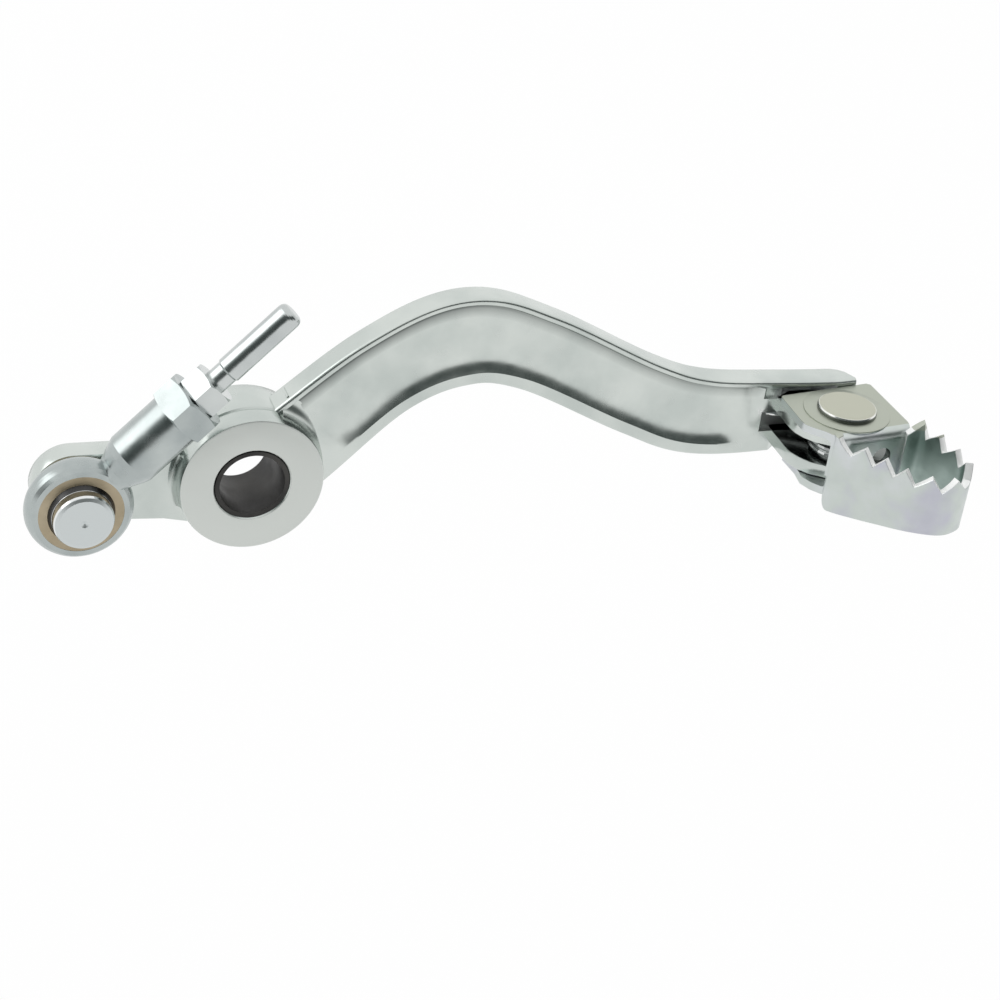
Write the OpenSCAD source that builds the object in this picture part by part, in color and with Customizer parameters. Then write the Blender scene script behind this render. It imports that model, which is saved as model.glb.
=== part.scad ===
// Rear brake pedal of an off-road motorcycle: a forged lever arm with a bushed pivot boss,
// a ball-jointed rod end with its push rod at the back, and a sprung, folding saw-tooth toe
// piece at the front.
// Origin: centre of the pivot bore. +X runs forward along the pedal, +Z is up (the toe pin's
// axis) and +Y is the pivot's axis, pointing away from the rod end's side. Millimetres.

/* [Pivot] */
// Outside diameter of the forged boss
boss_d = 33; // [28:0.5:38]
// Length of the boss along the pivot
boss_len = 17; // [14:0.5:22]
// Outside diameter of the pressed-in bush
bush_od = 17; // [15:0.5:20]
// Wall of the bush
bush_wall = 1; // [0.8:0.1:1.5]
// Radius of the fillet between the boss and the arm's web
boss_fillet = 4; // [2:0.5:5]

/* [Lever arm] */
// Thickness of the arm
arm_t = 7; // [6:0.5:9]
// Depth of the panel sunk into each side of the arm
web_sink = 1.4; // [0.8:0.1:1.8]
// Height of the narrow top flange's side
top_flange = 1.4; // [1:0.1:2]
// Height of the lower flange's side
low_flange = 3; // [2:0.25:4]
// Width of the soft slope from the lower flange down to the panel
low_slope = 4.5; // [3:0.5:6]
// Rounding of the arm's long edges
edge_r = 0.9; // [0.5:0.1:1.3]

/* [Rear ear] */
// Distance of the ball's centre behind the pivot
ball_back = 39; // [37:0.5:44]
// Drop of the ball's centre below the pivot
ball_drop = 1.5; // [0:0.25:3]
// Radius of the ear's rounded end
ear_r = 9; // [8:0.25:10]
// Thickness of the ear
ear_t = 6; // [5:0.5:7]

/* [Ball joint and rod] */
// Diameter of the ball
ball_d = 16.2; // [15.8:0.1:16.8]
// Diameter of the ball stud's neck
neck_d = 13.3; // [12.4:0.1:13.5]
// Outside diameter of the eye
eye_d = 24; // [23:0.5:26]
// Thickness of the eye
eye_t = 7; // [6:0.25:8]
// Distance of the eye's middle in front of the arm's middle
eye_off = 9.5; // [9.5:0.25:11]
// Outside diameter of the bearing race
race_d = 18.8; // [18:0.1:19.5]
// Angle of the push rod above the pedal's own line
rod_angle = 45.3; // [44:0.1:47]
// Diameter of the rod end's round shank
shank_d = 12.5; // [11:0.5:13]
// Distance from the ball to the rod end's hexagon
hex_start = 29.2; // [28:0.2:31]
// Length of the rod end's hexagon
hex_len = 6.2; // [5:0.2:8]
// Size across the flats of the rod end's hexagon
hex_af = 14; // [12:1:14]
// Size across the flats of the lock nut
nut_af = 10; // [10:1:12]
// Thickness of the lock nut
nut_t = 5.4; // [4:0.2:6]
// Diameter of the push rod
rod_d = 6; // [5:0.25:7]
// Distance from the ball to the push rod's tip
rod_tip = 63.6; // [58:0.2:68]

/* [Folding toe] */
// Distance of the toe pin ahead of the pivot
toe_x = 142.5; // [142.5:0.5:145]
// Distance of the toe pin in front of the arm's middle
toe_off = 15; // [15:0.25:16]
// Diameter of the toe pin
pin_d = 8; // [6:0.5:9]
// Diameter of the toe pin's head
pin_head_d = 14.3; // [12:0.1:16]
// Sheet thickness of the toe piece
sheet = 2; // [1.5:0.1:2.2]
// Height of the underside of the upper lug
slot_top = 7.2; // [6.8:0.1:7.4]
// Height of the top of the lower lug
slot_floor = 1.9; // [1.6:0.1:2.2]
// Height of the saw teeth
tooth_h = 3.3; // [2:0.1:4]
// Height that the forward wall's teeth stand above the rear wall's
far_lift = 0.8; // [0:0.1:1.5]

/* [Spring] */
// Wire diameter of the torsion spring
wire_d = 1.4; // [1:0.1:1.5]
// Outside diameter of the spring's coil
coil_d = 15; // [14.5:0.1:15.4]
// Number of turns in the coil
coil_turns = 3; // [2:1:3]

/* [Hidden] */
$fn = 64;
// radial clearances: a pin or a ball that turns, a rod in its thread
run_gap = 0.05;
thread_gap = 0.03;
eps = 0.01;
// colours
zinc = [0.76, 0.78, 0.77];
dark_steel = [0.22, 0.20, 0.19];
bronze = [0.60, 0.52, 0.38];
blue_zinc = [0.70, 0.74, 0.78];

boss_r = boss_d / 2;
half_t = arm_t / 2;
bush_r = bush_od / 2;
bore_r = bush_r - bush_wall;
// the parting flash stands this far out of the boss
flash = 0.4;

// Centreline of the arm in X and Z with its height square to that line
ARM = [
  [10.8, 5.3, 23.2], [30.9, 22.7, 21.3], [48.9, 30.2, 22.2], [66.6, 26.5, 19.5],
  [94.1, 12.8, 19.3], [110.3, 6.9, 20.3], [130.9, 5.7, 19.2], [151.4, 6.4, 16]
];
// stations in each stretch between two of those points
arm_steps = 6;
// where the sunk panel's lower edge starts and ends, and where its upper edge ends
panel_x0 = 19;
panel_x1 = 123;
step_x1 = 127;

// fork: lugs and their clearances
toe_y = -toe_off;
lug_top = 10.85;
lug_foot = -1.5;
lug_r = 8.4;
lug_left = 130.2;
head_end = 151;
slot_x0 = 126.6;
pocket_x0 = 126.4;
slot_back = -0.6;
pocket_r = 17;

// bracket plates, folded round the fork
plate_gap = 0.15;
plate_low = lug_foot - plate_gap - sheet;
plate_top = lug_top + plate_gap + sheet;
bracket_turn = 7.5;
web_in = 8.8;
bend_r = 0.8;
pad_h = 0.25;
pad_r = 10.4;
pin_r = pin_d / 2;
// back edge of the upper plate behind the pin, and its back left corner's place along it;
// folded out, that edge rests against the arm's head
plate_back = toe_off - half_t - 0.8;
corner_x = -11.3;
stop_gap = 0.15;

// tread loop: points on the middle of the sheet, relative to the toe pin, from the web's
// right edge round the outer end to the plate's left front corner
LOOP = [
  [11.5, -9.6], [15.9, -10.2], [18, -14.2], [19.6, -19.3], [20.5, -23.6], [18.8, -27.2],
  [14.2, -29.2], [9.3, -27.9], [4.9, -24.9], [1.1, -20.4], [-2.6, -15.8], [-6.6, -11.6],
  [-6.9, -9.8]
];
top_slope = 0.15;
tread_top = 13.1;
tread_foot = -6.7;
// toothed edge: place along the loop, and height there from a tooth's root (0) to its tip (1)
TEETH = [
  [0, 0.3], [0.9, 1.24], [1.27, 0], [2.03, 1], [2.4, 0], [3.1, 1], [3.55, 0], [4.3, 1], [4.7, 0],
  [5.3, 0], [5.85, 1], [6.5, 0], [7, 1], [7.7, 0], [8.15, 1], [8.6, 0], [9.05, 1], [9.5, 0],
  [9.95, 1], [10.45, 0], [11.15, 1], [12, 1]
];
edge_steps = 3;

// rear joint
ball_r = ball_d / 2;
neck_r = neck_d / 2;
race_r = race_d / 2;
eye_r = eye_d / 2;
stud_r = 5;
ball_face = 7.5;
hex_end = hex_start + hex_len;
nut_end = hex_end + nut_t;
thread_start = 17;
rod_start = thread_start + 4;
thread_r = rod_d / 2 - 0.3;
thread_end = nut_end + 3.5;

// spring
coil_r = (coil_d - wire_d) / 2;
wire_r = wire_d / 2;
coil_pitch = wire_d + 0.05;
coil_z0 = slot_floor + wire_r + 0.1;
// the outer leg ends in the slot's back left corner, and leaves the coil where that makes it
// tangent; the inner leg leaves at its own angle round the pin
leg_gap = 0.15;
leg_end = [slot_x0 + 2.2 - toe_x, slot_back - wire_r - leg_gap - toe_y];
leg_out = atan2(leg_end[1], leg_end[0]) - acos(coil_r / norm(leg_end));
leg_out_len = sqrt(leg_end * leg_end - coil_r * coil_r);
leg_in = 289;
leg_in_len = 7;
wire_sides = 8;
steps_per_turn = 20;

// Smooth step from 0 at a to 1 at b
function ease(v, a, b) = let (s = min(1, max(0, (v - a) / (b - a)))) s * s * (3 - 2 * s);

// Tangent of a curve through points p at point i
function tangent(p, i) = let (n = len(p) - 1)
  i == 0 ? p[1] - p[0] : i == n ? p[n] - p[n - 1] : (p[i + 1] - p[i - 1]) / 2;

// Point on the cubic between p[i] and p[i + 1] at s, and the whole curve
function cubic(p, i, s) = let (a = tangent(p, i), b = tangent(p, i + 1))
  (2 * pow(s, 3) - 3 * s * s + 1) * p[i] + (pow(s, 3) - 2 * s * s + s) * a
  + (3 * s * s - 2 * pow(s, 3)) * p[i + 1] + (pow(s, 3) - s * s) * b;
function curve(p, steps) = [
  for (i = [0 : len(p) - 2], k = [0 : steps - 1]) cubic(p, i, k / steps),
  p[len(p) - 1]
];

// Skin over rings of points, all with the same even count, closed by a strip at each end
module skin(rings) {
  n = len(rings[0]);
  m = len(rings);
  sides = [
    for (i = [0 : m - 2], j = [0 : n - 1]) let (k = (j + 1) % n)
      each [[i * n + j, (i + 1) * n + k, (i + 1) * n + j], [i * n + j, i * n + k, (i + 1) * n + k]]
  ];
  e = (m - 1) * n;
  caps = [
    for (j = [0 : n / 2 - 2]) each [
      [j + 1, j, n - 1 - j], [n - 2 - j, j + 1, n - 1 - j],
      [e + j, e + j + 1, e + n - 1 - j], [e + j + 1, e + n - 2 - j, e + n - 1 - j]
    ]
  ];
  polyhedron([for (r = rings) each r], concat(sides, caps), convexity = 8);
}

// One side of the arm's section, top to bottom, as [outward, along the height]
function side_profile(h, sink_top, sink_low) = let (
  r = edge_r,
  t = half_t,
  v1 = -h / 2 + low_flange + low_slope,
  v0 = -h / 2 + low_flange
) [
  for (a = [90, 60, 30, 0]) [t - r + r * cos(a), h / 2 - r + r * sin(a)],
  [t, h / 2 - top_flange],
  [t - sink_top * 0.85, h / 2 - top_flange - 0.25],
  [t - sink_top, h / 2 - top_flange - 0.9],
  for (s = [0, 0.3, 0.55, 0.75, 0.9, 1]) [t - sink_low * (1 - s * s), v1 + (v0 - v1) * s],
  for (a = [0, -30, -60, -90]) [t - r + r * cos(a), -h / 2 + r + r * sin(a)]
];

// Closed section: the far side going down, then the near side going up
function section(h, sink_top, sink_low) = let (p = side_profile(h, sink_top, sink_low)) concat(
  p,
  [for (i = [len(p) - 1 : -1 : 0]) [-p[i][0], p[i][1]]]
);

// Ring of the arm at station c = [x, z, height], where the line runs along d
function arm_ring(c, d) = let (
  u = d / norm(d),
  sink_top = web_sink * (1 - ease(c[0], step_x1 - 3, step_x1)),
  sink_low = web_sink * ease(c[0], panel_x0, panel_x0 + 6) * (1 - ease(c[0], panel_x1 - 6, panel_x1))
) [
  for (q = section(c[2], sink_top, sink_low)) [c[0] - u[1] * q[1], q[0], c[1] + u[0] * q[1]]
];

module arm_bar() {
  line = curve(ARM, arm_steps);
  n = len(line) - 1;
  d0 = line[1] - line[0];
  back = line[0] - 8 * d0 / norm([d0[0], d0[1]]);
  skin([
    arm_ring([back[0], back[1], line[0][2]], [d0[0], d0[1]]),
    for (i = [0 : n]) let (d = line[min(i + 1, n)] - line[max(i - 1, 0)])
      arm_ring(line[i], [d[0], d[1]])
  ]);
}

// Rod along +Y with length l, centred on the origin, with its rims rounded by r
module y_disc(rad, l, r = 0.5) {
  rotate([-90, 0, 0]) rotate_extrude() polygon([
    [0, -l / 2], [rad - r, -l / 2], [rad - 0.3 * r, -l / 2 + 0.3 * r], [rad, -l / 2 + r],
    [rad, l / 2 - r], [rad - 0.3 * r, l / 2 - 0.3 * r], [rad - r, l / 2], [0, l / 2]
  ]);
}

// Hollow cone-like fillets that run from the boss down to the web on both sides
module boss_fillets() {
  f = boss_fillet;
  y0 = half_t - web_sink;
  for (m = [0, 1]) mirror([0, m, 0]) rotate([90, 0, 0]) rotate_extrude() polygon([
    [boss_r - 2, 0], [boss_r + f, 0], [boss_r + f, y0],
    for (a = [270 : -15 : 180]) [boss_r + f + f * cos(a), y0 + f + f * sin(a)],
    [boss_r - 2, y0 + f]
  ]);
}

// Outline of arm root and ear, wide enough to hold the fillets
module root_outline() {
  polygon([
    [-26, 7], [-12, 7.2], [-8, 12], [3.2, 13.6], [18, 27], [34, 14], [18.6, -3.4], [11, -10],
    [0, -boss_r], [-13, -12], [-26, -10.3]
  ]);
}

// Ear's outline drawn in by d on every side
module ear_outline(d) {
  z0 = -ball_drop;
  r = ear_r - d;
  translate([-ball_back, z0]) circle(r);
  polygon([
    [-ball_back, z0 + r], [-8, z0 + r - 0.4], [-8, -12.5 + d], [-13, -12.1 + d],
    [-18.4, -10.9 + d], [-26, z0 - r], [-ball_back, z0 - r]
  ]);
}

module ear() {
  c = 0.8;
  for (layer = [[0, ear_t - 2 * c], [0.25 * c, ear_t - 0.8 * c], [c, ear_t]])
    translate([0, layer[1] / 2, 0]) rotate([90, 0, 0]) linear_extrude(layer[1])
      ear_outline(layer[0]);
}

// Plan of both lugs about the toe pin: straight left side, nose round the pin
module lug_plan() {
  polygon([
    [lug_left, 0], [lug_left, toe_y + 3], [lug_left + 0.4, toe_y + 0.9],
    [lug_left + 1.4, toe_y - 1.4], [lug_left + 3.3, toe_y - 3.8],
    for (a = [-137 : 12 : -53]) [toe_x + lug_r * cos(a), toe_y + lug_r * sin(a)],
    [toe_x + lug_r, toe_y - 6.2], [toe_x + lug_r + 3.4, toe_y - 5.2],
    [toe_x + lug_r + 4.8, toe_y - 3.6], [toe_x + lug_r + 5.2, toe_y - 1.2],
    [toe_x + lug_r + 4.4, toe_y + 5], [head_end - 0.5, -4], [head_end - 0.5, 0]
  ]);
}

// Face of the head that stops the upper plate's back edge, at x
function stop_y(x) = toe_y + (plate_back + stop_gap) / cos(bracket_turn)
  + tan(bracket_turn) * (x - toe_x);

// Plan of the arm's head, with its rounded back corner and the slanted stop face in front
module head_plan() {
  r = 5;
  polygon([
    [-30, -20], [head_end - 20, -20], [head_end - 20, -half_t], [head_end - 4.3, -half_t],
    [head_end, max(-half_t, stop_y(head_end))],
    for (a = [0 : 15 : 90]) [head_end - r + r * cos(a), half_t - r * 0.9 + r * sin(a)],
    [-30, half_t + 1]
  ]);
}

module lugs() {
  for (z = [[lug_foot, slot_floor], [slot_top, lug_top]])
    translate([0, 0, z[0]]) linear_extrude(z[1] - z[0]) lug_plan();
}

// Room that the toe piece's upper plate turns in, under the thin top flange
module plate_pocket() {
  y0 = -half_t + 0.9;
  swept_r = norm([corner_x, plate_back]) + 1.2;
  translate([0, 0, lug_top]) linear_extrude(plate_gap + sheet + 0.6) polygon([
    [pocket_x0, -20], [pocket_x0, y0 - 0.8], [pocket_x0 + 0.8, y0],
    for (a = [180 - asin((y0 - toe_y) / swept_r) : -4 : 102])
      [toe_x + swept_r * cos(a), toe_y + swept_r * sin(a)],
    [toe_x + 3.2, -half_t + 0.15], [toe_x + 3.2, -20]
  ]);
}

// Slot for the spring, and the room that the lower plate turns in
module spring_slot() {
  r = 2;
  translate([0, 0, slot_floor]) linear_extrude(slot_top - slot_floor) {
    translate([slot_x0 + r, slot_back - r]) circle(r);
    polygon([
      [slot_x0, -30], [slot_x0, slot_back - r], [slot_x0 + r, slot_back],
      [head_end + 5, slot_back], [head_end + 5, -30]
    ]);
  }
  translate([toe_x, toe_y, lug_foot - 10]) cylinder(r = pocket_r, h = 10);
  translate([toe_x, toe_y - 5, lug_foot - 10]) cube([20, 40, 10]);
}

module lever_arm() color(zinc) difference() {
  union() {
    difference() {
      intersection() {
        arm_bar();
        translate([0, 0, -30]) linear_extrude(100) head_plan();
      }
      plate_pocket();
      spring_slot();
    }
    lugs();
    ear();
    y_disc(boss_r, boss_len, 0.4);
    y_disc(boss_r + flash, ear_t, 0.4);
    intersection() {
      boss_fillets();
      translate([0, boss_len / 2, 0]) rotate([90, 0, 0]) linear_extrude(boss_len) root_outline();
    }
  }
  rotate([90, 0, 0]) cylinder(r = bush_r, h = boss_len + 2, center = true);
  for (s = [-1, 1]) translate([0, s * boss_len / 2, 0]) rotate([s * 90, 0, 0])
    cylinder(r1 = bush_r + 0.5, r2 = bush_r - 0.1, h = 0.6);
  translate([-ball_back, 0, -ball_drop]) rotate([90, 0, 0])
    cylinder(r = stud_r, h = 20, center = true);
  translate([toe_x, toe_y, -20]) cylinder(r = pin_r + run_gap, h = 60);
}

module pivot_bush() color(dark_steel) rotate([90, 0, 0]) difference() {
  cylinder(r = bush_r, h = boss_len - 0.4, center = true);
  cylinder(r = bore_r, h = boss_len + 2, center = true);
}

// Moves its children to the ball's centre, where +X is along the push rod
module at_ball() {
  translate([-ball_back, -eye_off, -ball_drop]) rotate([0, -rod_angle, 0]) children();
}

// Ball, its proud face with a centre dimple, and the shank riveted through the ear
module ball_stud() color(zinc) translate([-ball_back, 0, -ball_drop]) rotate([90, 0, 0])
  difference() {
    rotate_extrude() {
      half = sqrt(ball_r * ball_r - neck_r * neck_r);
      polygon([
        [0, -ear_t / 2 - 1.6], [stud_r + 0.6, -ear_t / 2 - 1.6], [stud_r + 1.3, -ear_t / 2 - 1],
        [stud_r + 1.3, -ear_t / 2], [stud_r, -ear_t / 2], [stud_r, ear_t / 2],
        [neck_r, ear_t / 2], [neck_r, eye_off - half],
        for (a = [acos(neck_r / ball_r) * -1 : 6 : acos(neck_r / ball_r)])
          [ball_r * cos(a), eye_off + ball_r * sin(a)],
        [neck_r, eye_off + half], [neck_r, eye_off + ball_face - 0.9],
        [neck_r - 0.3, eye_off + ball_face - 0.3], [neck_r - 1, eye_off + ball_face],
        [0, eye_off + ball_face]
      ]);
    }
    translate([0, 0, eye_off + ball_face - 0.35]) cylinder(r1 = 0.1, r2 = 1, h = 0.36);
  }

module bearing_race() color(bronze) at_ball() rotate([90, 0, 0]) difference() {
  cylinder(r = race_r, h = eye_t - 0.1, center = true);
  sphere(r = ball_r + run_gap);
}

// Hexagon across the flats af, length l, with its corners turned off at the ends
module hexagon(af, l, chamfer) {
  r = af / sqrt(3);
  intersection() {
    cylinder(r = r, h = l, $fn = 6);
    rotate_extrude() polygon([
      [0, 0], [r - chamfer, 0], [r, chamfer * 0.6], [r, l - chamfer * 0.6], [r - chamfer, l], [0, l]
    ]);
  }
}

// Turns a solid that stands on Z so that it lies along the rod, starting at distance d
module along_rod(d) {
  translate([d, 0, 0]) rotate([0, 90, 0]) children();
}

// Crowned eye, tapered shoulder, round shank and hexagon, forged in one
module rod_end() color(zinc) at_ball() difference() {
  union() {
    rotate([90, 0, 0]) rotate_extrude() polygon([
      [race_r - 1, -eye_t / 2], [eye_r - 1.6, -eye_t / 2],
      for (a = [-60 : 15 : 60]) [eye_r - 2.2 + 2.2 * cos(a), 0.4 + 3.2 * sin(a)],
      [eye_r - 1.4, eye_t / 2], [race_r - 1, eye_t / 2]
    ]);
    along_rod(race_r + 0.5) rotate_extrude() polygon([
      [0, 0], [eye_t / 2 + 0.6, 0], [eye_t / 2 + 1.2, 2], [shank_d / 2 - 0.5, 4.4],
      [shank_d / 2, 6], [shank_d / 2, hex_start - race_r - 0.5 + eps], [0, hex_start - race_r - 0.5 + eps]
    ]);
    along_rod(hex_start) hexagon(hex_af, hex_len, 1);
  }
  rotate([90, 0, 0]) cylinder(r = race_r, h = 30, center = true);
  along_rod(thread_start) cylinder(r = thread_r + thread_gap, h = 40);
}

module lock_nut() color(zinc) at_ball() difference() {
  along_rod(hex_end) hexagon(nut_af, nut_t, 0.7);
  along_rod(hex_end - 1) cylinder(r = thread_r + thread_gap, h = nut_t + 2);
}

// Plain rod with a rounded tip; its threaded end is drawn as a thinner cylinder
module push_rod() color(zinc) at_ball() along_rod(rod_start) rotate_extrude() {
  l = rod_tip - rod_start;
  t = thread_end - rod_start;
  r = rod_d / 2;
  polygon([
    [0, 0], [thread_r - 0.5, 0], [thread_r, 0.5], [thread_r, t], [r, t + 0.4], [r, l - 1.6],
    for (a = [0 : 15 : 90]) [r - 1.2 + 1.2 * cos(a), l - 1.6 + 1.6 * sin(a)],
    [0, l]
  ]);
}

// The two plates and the web between them, bent from one sheet
module bracket() {
  y_out = -web_in - sheet;
  intersection() {
    translate([toe_x, toe_y, 0]) rotate([0, 0, bracket_turn]) difference() {
      translate([-20, 0, 0]) rotate([90, 0, 90]) linear_extrude(40) difference() {
        c_outline(y_out, plate_low, plate_top, bend_r + sheet);
        c_outline(y_out + sheet, plate_low + sheet, plate_top - sheet, bend_r);
      }
      translate([4.5, 0, slot_floor + 3.8]) rotate([90, 0, 0]) cylinder(d = 5.2, h = 30);
    }
    translate([toe_x, toe_y, 0]) rotate([0, 0, bracket_turn]) {
      translate([0, 0, slot_floor]) linear_extrude(20) upper_plan();
      translate([0, 0, slot_floor - 20]) linear_extrude(20 + eps) lower_plan();
    }
  }
}

// Profile from a rounded front at y0 back past the plates, between heights z0 and z1
module c_outline(y0, z0, z1, r) {
  y1 = 30;
  polygon([
    for (a = [270 : -15 : 180]) [y0 + r + r * cos(a), z0 + r + r * sin(a)],
    for (a = [180 : -15 : 90]) [y0 + r + r * cos(a), z1 - r + r * sin(a)],
    [y1, z1], [y1, z0]
  ]);
}

// Plans of the two plates about the toe pin, square to the web; the left front corners are
// cut back to meet the tread, and the lower plate is the smaller one
module upper_plan() {
  polygon([
    [corner_x - 0.6, plate_back - 0.5], [corner_x, plate_back], [12.9, plate_back],
    [13.7, plate_back - 0.8], [12.1, -8.9], [10.9, -13.5], [-6.1, -11.5], [-9, -10.2],
    [-10.4, -7.1], [-12.3, -4.7], [-13.4, -2.9], [-13.5, -1.3]
  ]);
}

module lower_plan() {
  polygon([
    [-9.7, 8], [11.8, 8], [12.9, 7], [12.1, -8.9], [10.9, -13.5], [-6.1, -11.5], [-7.4, -11.3],
    [-8.9, -8.8], [-10.7, -5.8], [-11.5, -2.8], [-10.3, 1.5]
  ]);
}

// Heights above the part's XY plane at place s along the loop and distance y from the pin:
// the line over the tooth tips, the toothed edge itself, and the plain bottom edge
function line_top(s, y) = tread_top + top_slope * (y + 11) + far_lift * (1 - ease(s, 4.4, 5.6));
function edge_top(s, y) = line_top(s, y) - tooth_h * (1 - lookup(s, TEETH));
function edge_foot(s, y) = tread_foot + 2.4 * ease(-y, 12, 29) + 4.2 * ease(s, 11, 12);

// Stations: every root and tip, with even steps between them
function stations() = [
  for (i = [0 : len(TEETH) - 2], k = [0 : edge_steps - 1])
    TEETH[i][0] + (TEETH[i + 1][0] - TEETH[i][0]) * k / edge_steps,
  12
];

function loop_at(s) = let (i = min(floor(s), len(LOOP) - 2)) cubic(LOOP, i, s - i);

// Tread wall: the sheet's section carried along the loop
module tread() {
  st = stations();
  n = len(st) - 1;
  translate([toe_x, toe_y, 0]) skin([
    for (j = [0 : n]) let (
      q = loop_at(st[j]),
      d = loop_at(min(st[j] + 0.05, 12)) - loop_at(max(st[j] - 0.05, 0)),
      w = [-d[1], d[0]] / norm(d) * sheet / 2,
      top = edge_top(st[j], q[1]),
      foot = edge_foot(st[j], q[1])
    ) [
      [q[0] + w[0], q[1] + w[1], foot], [q[0] - w[0], q[1] - w[1], foot],
      [q[0] - w[0], q[1] - w[1], top], [q[0] + w[0], q[1] + w[1], top]
    ]
  ]);
}

module toe_piece() color(blue_zinc) difference() {
  union() {
    bracket();
    tread();
    translate([toe_x, toe_y, plate_top - eps]) cylinder(r = pad_r, h = pad_h + eps);
  }
  translate([toe_x, toe_y, -20]) cylinder(r = pin_r, h = 60);
}

// Headed pin, riveted over below the lower plate
module toe_pin() color(blue_zinc) translate([toe_x, toe_y, 0]) rotate_extrude() {
  top = plate_top + pad_h;
  r = pin_head_d / 2;
  polygon([
    [0, plate_low - 1.2], [pin_r + 0.4, plate_low - 1.2], [pin_r + 1.4, plate_low - 0.7],
    [pin_r + 1.4, plate_low], [pin_r, plate_low], [pin_r, top], [r, top], [r, top + 0.7],
    [r - 0.25, top + 1.2], [r - 0.9, top + 1.5], [0, top + 1.5]
  ]);
}

module spring_sleeve() color(zinc) translate([toe_x, toe_y, slot_floor]) difference() {
  cylinder(r = coil_r - wire_r - 0.5, h = slot_top - slot_floor);
  translate([0, 0, -1]) cylinder(r = pin_r + run_gap, h = 20);
}

// Wire of the torsion spring: a leg into the slot, the coil, and a leg along the web
function spring_line() = let (
  n = coil_turns * steps_per_turn,
  span = 360 * coil_turns + leg_out - leg_in,
  z1 = coil_z0 + coil_pitch * span / 360,
  a0 = leg_out,
  a1 = leg_out - span
) [
  for (l = [leg_out_len, leg_out_len / 2]) [
    coil_r * cos(a0) - l * sin(a0), coil_r * sin(a0) + l * cos(a0), z1
  ],
  for (k = [0 : n]) let (a = a0 - span * k / n)
    [coil_r * cos(a), coil_r * sin(a), z1 + (coil_z0 - z1) * k / n],
  for (l = [leg_in_len / 2, leg_in_len]) [
    coil_r * cos(a1) + l * sin(a1), coil_r * sin(a1) - l * cos(a1), coil_z0
  ]
];

module return_spring() color(zinc) {
  p = spring_line();
  n = len(p) - 1;
  translate([toe_x, toe_y, 0]) skin([
    for (i = [0 : n]) let (
      d = p[min(i + 1, n)] - p[max(i - 1, 0)],
      u = [d[1], -d[0], 0] / norm([d[0], d[1]])
    ) [
      for (k = [0 : wire_sides - 1]) let (a = 360 * k / wire_sides)
        p[i] + wire_r * (cos(a) * u + [0, 0, sin(a)])
    ]
  ]);
}

lever_arm();
pivot_bush();
ball_stud();
bearing_race();
rod_end();
lock_nut();
push_rod();
toe_piece();
toe_pin();
spring_sleeve();
return_spring();
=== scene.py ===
"""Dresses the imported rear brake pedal: smooth forging and toe sheet, plating, stage and camera.

Lengths are in millimetres here and in metres in the scene. X runs from the pivot to the toe piece,
-Y to the side that the photograph shows and Z up, with the origin in the middle of the pivot bore.
"""

import math

import bmesh
import bpy
import numpy as np
from mathutils import Matrix, Vector


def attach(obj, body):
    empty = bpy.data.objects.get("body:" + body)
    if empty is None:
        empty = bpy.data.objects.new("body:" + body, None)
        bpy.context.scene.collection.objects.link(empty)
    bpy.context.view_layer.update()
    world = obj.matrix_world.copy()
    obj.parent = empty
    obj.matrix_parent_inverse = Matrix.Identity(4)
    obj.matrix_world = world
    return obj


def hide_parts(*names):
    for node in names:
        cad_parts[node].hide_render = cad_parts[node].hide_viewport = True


bl_info = {
    "name": "Rear brake pedal",
    "version": (1, 0, 0),
    "blender": (4, 5, 0),
    "location": "View3D > Sidebar > Pedal",
    "description": "Builds the visual model of a rear brake pedal over its packed frame",
    "category": "Add Mesh",
}

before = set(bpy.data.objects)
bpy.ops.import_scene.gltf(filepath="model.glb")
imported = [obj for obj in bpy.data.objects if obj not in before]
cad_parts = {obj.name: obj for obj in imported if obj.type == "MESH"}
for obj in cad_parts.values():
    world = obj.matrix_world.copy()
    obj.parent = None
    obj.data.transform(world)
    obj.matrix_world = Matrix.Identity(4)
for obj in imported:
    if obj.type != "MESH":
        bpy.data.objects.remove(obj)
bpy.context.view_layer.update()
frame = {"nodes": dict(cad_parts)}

MM = 0.001

# the arm's centreline in X and Z with its height, and how many stations each stretch has
ARM_LINE = [
    (10.8, 5.3, 23.2), (30.9, 22.7, 21.3), (48.9, 30.2, 22.2), (66.6, 26.5, 19.5),
    (94.1, 12.8, 19.3), (110.3, 6.9, 20.3), (130.9, 5.7, 19.2), (151.4, 6.4, 16.0),
]
STATIONS = 14

# the arm's section: half its thickness, rounding of the rims, depth of the sunk panel, then how far
# below the top the top flange, the wall under it and the even part of the panel end, and how high
# above the bottom the lower flange and the slope over it reach
HALF_T, EDGE_R, PANEL_SINK = 3.5, 0.9, 1.4
TOP_FLANGE, WALL_FOOT, EVEN_FOOT = 1.4, 2.1, 2.9
LOW_FLANGE, SLOPE_TOP = 3.0, 7.5
# painted shade under the top rim, at each point of side_profile: 7 on the
# rim, 6 on the wall, 2 on the panel's top and 22 below
RIM_SHADE = [0] * 7 + [0, 0.1, 0.4, 0.8, 1, 1] + [0.9, 0.6] + [0] * 22

# where the arm ends, the boss round the bush, and the ear with the ball stud
HEAD_END = 151.0
BOSS_R, BOSS_LEN, BUSH_R = 16.5, 17.0, 8.5
BAND_H, BAND_HALF = 0.4, 2.3
FILLET_R, WEB_Y = 4.0, 2.1
EAR_T, EAR_R = 6.0, 9.0
BALL = (-39.0, -9.5, -1.5)
BALL_FACE, NECK_FACE = 7.5, 4.6

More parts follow.
